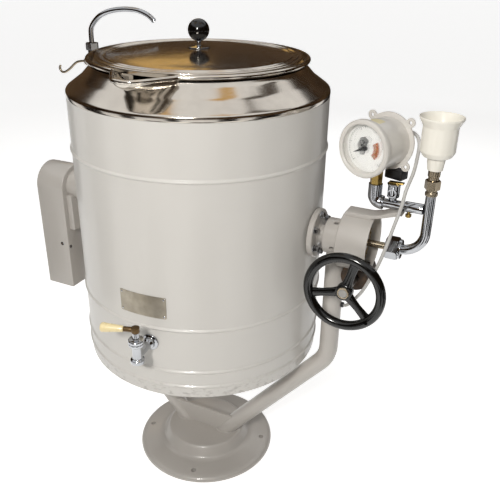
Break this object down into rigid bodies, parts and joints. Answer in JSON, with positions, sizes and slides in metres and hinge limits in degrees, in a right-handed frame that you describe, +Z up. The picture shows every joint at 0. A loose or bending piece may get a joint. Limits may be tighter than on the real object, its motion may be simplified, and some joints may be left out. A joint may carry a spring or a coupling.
{
  "type": "electric cooking kettle",
  "caption": "Steam-jacketed electric cooking kettle that tilts in a fork-shaped pedestal stand by a handwheel and worm drive, with pouring spout, lid, gauge, funnel and faucet.",
  "frame": {"origin": "On the floor under the middle of the pedestal flange, below the kettle's axis.", "axes": "+Z up; +X along the trunnion axis towards the handwheel, gauge and funnel; -Y is the front, where the pouring spout points."},
  "size_m": [1.0098, 0.651, 1.1085],
  "materials": {
    "casing_enamel": "smooth light grey baked enamel",
    "stand_enamel": "warm grey enamel over castings and tube",
    "polished_stainless": "polished stainless sheet",
    "mill_stainless": "mill finish stainless sheet",
    "chrome_plate": "bright plated fittings",
    "brass": "machined brass, dulled",
    "bronze": "dark bronze lever",
    "bare_steel": "bare machined steel",
    "dark_iron": "dark oily cast iron",
    "black_bakelite": "glossy moulded bakelite",
    "black_plastic": "matt moulded plastic",
    "gauge_enamel": "grey painted pressed case",
    "clear_glass": "flat clear glass",
    "white_dial": "white printed dial",
    "orange_resin": "brown-orange moulded resin",
    "grey_cable": "light grey cable sheath",
    "cream_enamel": "cream vitreous enamel",
    "cream_plastic": "cream moulded handle",
    "nickel_plate": "satin plate, bare",
    "mineral_wool": "mineral wool blanket"
  },
  "bodies": {
    "stand": {"pedestal_base": "stand_enamel", "fork_arm_right": "stand_enamel", "fork_arm_left": "stand_enamel", "fork_gusset": "stand_enamel", "gear_housing": "stand_enamel", "worm_case": "dark_iron", "worm_case_cap": "dark_iron", "bush_right": "brass", "bush_left": "brass", "fittings_bracket": "stand_enamel", "union_nut": "chrome_plate", "feed_pipe": "chrome_plate", "manifold": "chrome_plate", "gauge_nipple": "brass", "gauge_case": "gauge_enamel", "gauge_bezel": "gauge_enamel", "gauge_glass": "clear_glass", "gauge_dial": "white_dial", "gauge_contacts": "bare_steel", "gauge_terminal_plate": "orange_resin", "gauge_terminal_box": "black_plastic", "gauge_cable": "grey_cable", "safety_valve": "chrome_plate", "funnel_valve": "brass", "funnel_cup": "cream_enamel", "left_bearing": "stand_enamel", "left_cover": "stand_enamel", "terminal_block": "black_plastic", "water_riser": "chrome_plate", "riser_clip_lower": "stand_enamel", "riser_clip_upper": "stand_enamel", "faucet_body": "chrome_plate", "faucet_nut": "chrome_plate"},
    "worm": {"worm_shaft": "bare_steel", "handwheel": "black_bakelite", "handwheel_nut": "brass"},
    "pointer": {"gauge_pointer": "black_plastic"},
    "relief_lever": {"safety_lever": "brass"},
    "cock": {"air_cock": "brass"},
    "faucet_spout": {"gooseneck": "chrome_plate"},
    "faucet_handle": {"faucet_lever": "bronze"},
    "kettle": {"outer_casing": "casing_enamel", "casing_bottom": "stand_enamel", "top_shoulder": "polished_stainless", "inner_vessel": "polished_stainless", "steam_jacket": "mill_stainless", "insulation": "mineral_wool", "steam_generator": "mill_stainless", "heating_element": "bare_steel", "trunnion_right": "stand_enamel", "trunnion_left": "stand_enamel", "steam_pipe": "brass", "worm_wheel": "brass", "nameplate": "nickel_plate", "level_tap_body": "chrome_plate"},
    "tap_handle": {"level_tap_lever": "bronze", "level_tap_handle": "cream_plastic"},
    "lid_set": {"lid": "polished_stainless", "lid_stem": "chrome_plate", "lid_knob": "black_bakelite"}
  },
  "joints": [
    {"name": "kettle_tilt", "type": "hinge", "parent": "stand", "child": "kettle", "pos_m": [0, 0, 0.685], "axis": [1, 0, 0], "range_deg": [0, 95]},
    {"name": "handwheel_turn", "type": "hinge", "parent": "stand", "child": "worm", "pos_m": [0.386, -0.1, 0.612], "axis": [0, 1, 0], "range_deg": [-3230, 0]},
    {"name": "lid_lift", "type": "slide", "parent": "kettle", "child": "lid_set", "axis": [0, 0, 1], "range_m": [0, 0.25]},
    {"name": "faucet_swivel", "type": "hinge", "parent": "stand", "child": "faucet_spout", "pos_m": [-0.361, 0.1, 1.0045], "axis": [0, 0, 1], "range_deg": [-30, 150]},
    {"name": "faucet_lever_turn", "type": "hinge", "parent": "stand", "child": "faucet_handle", "pos_m": [-0.361, 0.0752, 0.9799], "axis": [0, 1, 0], "range_deg": [0, 80]},
    {"name": "level_tap_turn", "type": "hinge", "parent": "kettle", "child": "tap_handle", "pos_m": [0.03536, -0.33645, 0.5488], "axis": [0, 0, 1], "range_deg": [0, 90]},
    {"name": "gauge_pointer_turn", "type": "hinge", "parent": "stand", "child": "pointer", "pos_m": [0.38407, -0.05659, 0.9005], "axis": [0.3322, 0.9432, 0], "range_deg": [0, 270]},
    {"name": "relief_lever_lift", "type": "hinge", "parent": "stand", "child": "relief_lever", "pos_m": [0.4315, 0, 0.8245], "axis": [0, -1, 0], "range_deg": [0, 25]},
    {"name": "air_cock_turn", "type": "hinge", "parent": "stand", "child": "cock", "pos_m": [0.4765, 0, 0.7687], "axis": [0, 0, -1], "range_deg": [0, 180]}
  ],
  "couplings": [
    {"joint": "handwheel_turn", "follows": "kettle_tilt", "ratio": -34}
  ]
}
